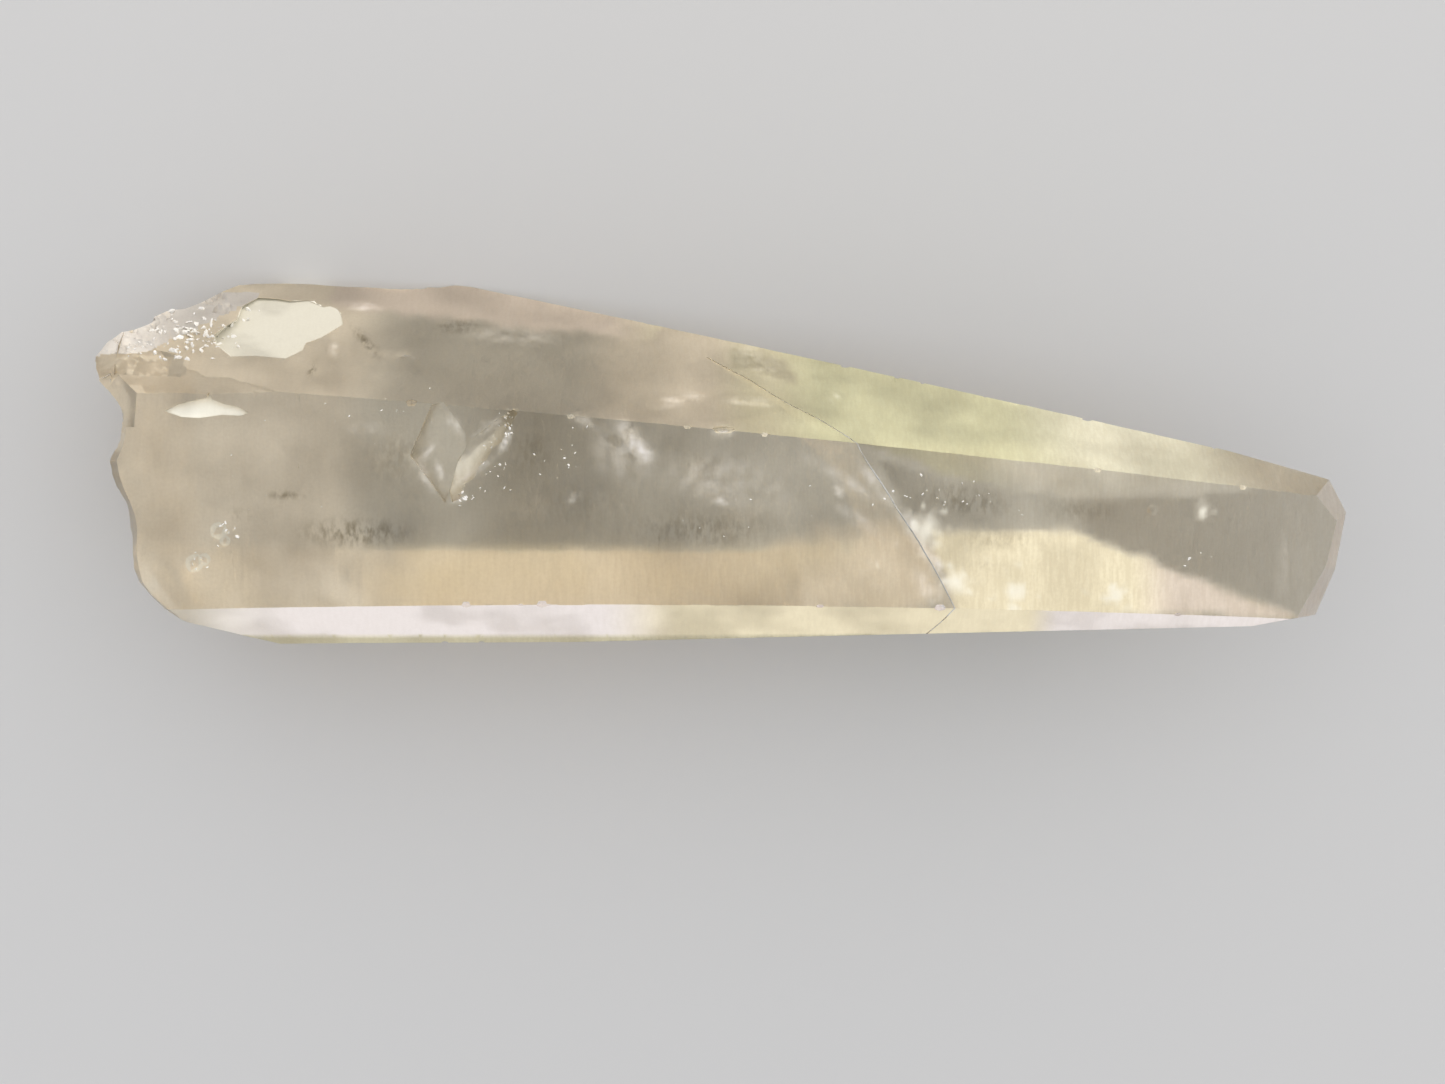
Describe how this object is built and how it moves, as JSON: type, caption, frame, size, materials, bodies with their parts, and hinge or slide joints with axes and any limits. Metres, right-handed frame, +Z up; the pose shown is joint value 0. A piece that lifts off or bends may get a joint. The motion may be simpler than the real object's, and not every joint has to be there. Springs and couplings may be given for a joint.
{
  "type": "lemurian quartz crystal",
  "caption": "Tapered, see-through quartz crystal with growth ledges across its long faces, a slanted tip and a broken base, lying on one long face.",
  "frame": {"origin": "on the surface it rests on, under the middle of the crystal's bounding box", "axes": "+X from the broken base to the tip, +Y towards the back, where the outline tapers most, +Z up from the long face it lies on"},
  "size_m": [0.1408, 0.0418, 0.026],
  "materials": {
    "quartz": "pale smoky yellow clear quartz, faintly frosted faces with fine cross lines, cream bruised chips"
  },
  "bodies": {
    "root": {"crystal": "quartz"}
  },
  "joints": []
}
